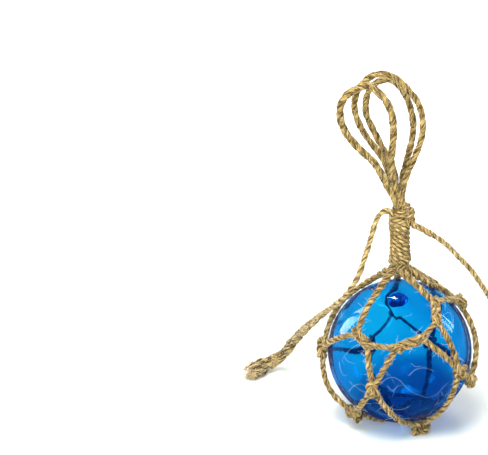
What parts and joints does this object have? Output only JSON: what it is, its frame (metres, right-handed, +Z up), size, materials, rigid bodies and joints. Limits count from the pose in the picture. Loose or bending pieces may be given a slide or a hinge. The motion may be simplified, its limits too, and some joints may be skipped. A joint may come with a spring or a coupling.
{
  "type": "glass float ball",
  "caption": "Sealed blue glass ball in a knotted jute net, gathered into a whipped neck with hanging loops and loose cord tails.",
  "frame": {"origin": "on the table under the middle of the ball, at the middle of the closing knot's flat underside", "axes": "+Z up along the ball's axis through the neck, -Y towards the viewer, +X to the viewer's right"},
  "size_m": [0.1891, 0.1, 0.1923],
  "materials": {
    "glass": "clear hand-blown blue glass, polished",
    "net": "two-ply twisted natural jute twine",
    "whipping": "jute twine wound close",
    "loops": "loosely laid jute twine",
    "tails": "jute twine with frayed ends"
  },
  "bodies": {
    "root": {"glass_ball": "glass", "net": "net", "whipping": "whipping", "hanging_loop_front": "loops", "hanging_loop_middle": "loops", "hanging_loop_back": "loops", "left_tail": "tails", "left_tail_end": "tails", "right_tail": "tails", "right_tail_knot": "tails"}
  },
  "joints": []
}
